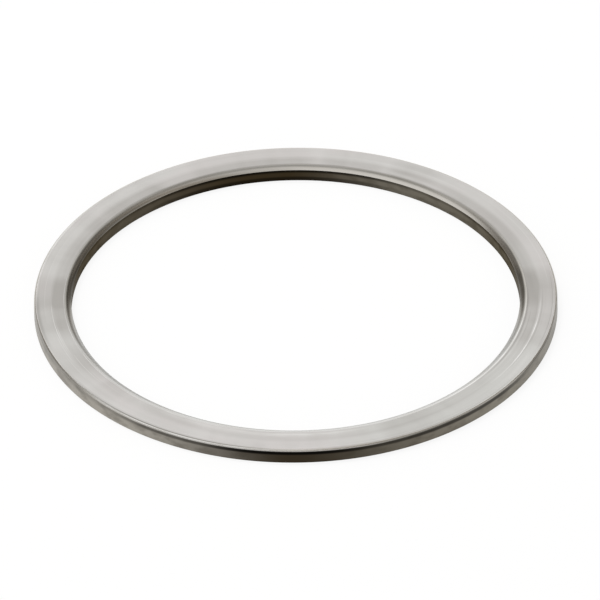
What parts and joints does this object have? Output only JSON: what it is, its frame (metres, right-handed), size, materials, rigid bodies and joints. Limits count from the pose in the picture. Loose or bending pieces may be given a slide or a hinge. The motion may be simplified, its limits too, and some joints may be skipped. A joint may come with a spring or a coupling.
{
  "type": "flat metal sealing ring",
  "caption": "Thin flat steel ring that seals a joint on its two faces, with a soft inner edge on the upper face and a tighter outer one.",
  "frame": {"origin": "centre of the underside, on the ring's axis", "axes": "+Z along the ring's axis, out of the upper face, which has the wider soft inner edge; X and Y are any two directions in the underside"},
  "size_m": [0.07, 0.07, 0.002],
  "materials": {
    "bare_steel": "faced in fine circles on the flat faces, duller and darker on the two walls"
  },
  "bodies": {
    "root": {"sealing_ring": "bare_steel"}
  },
  "joints": []
}
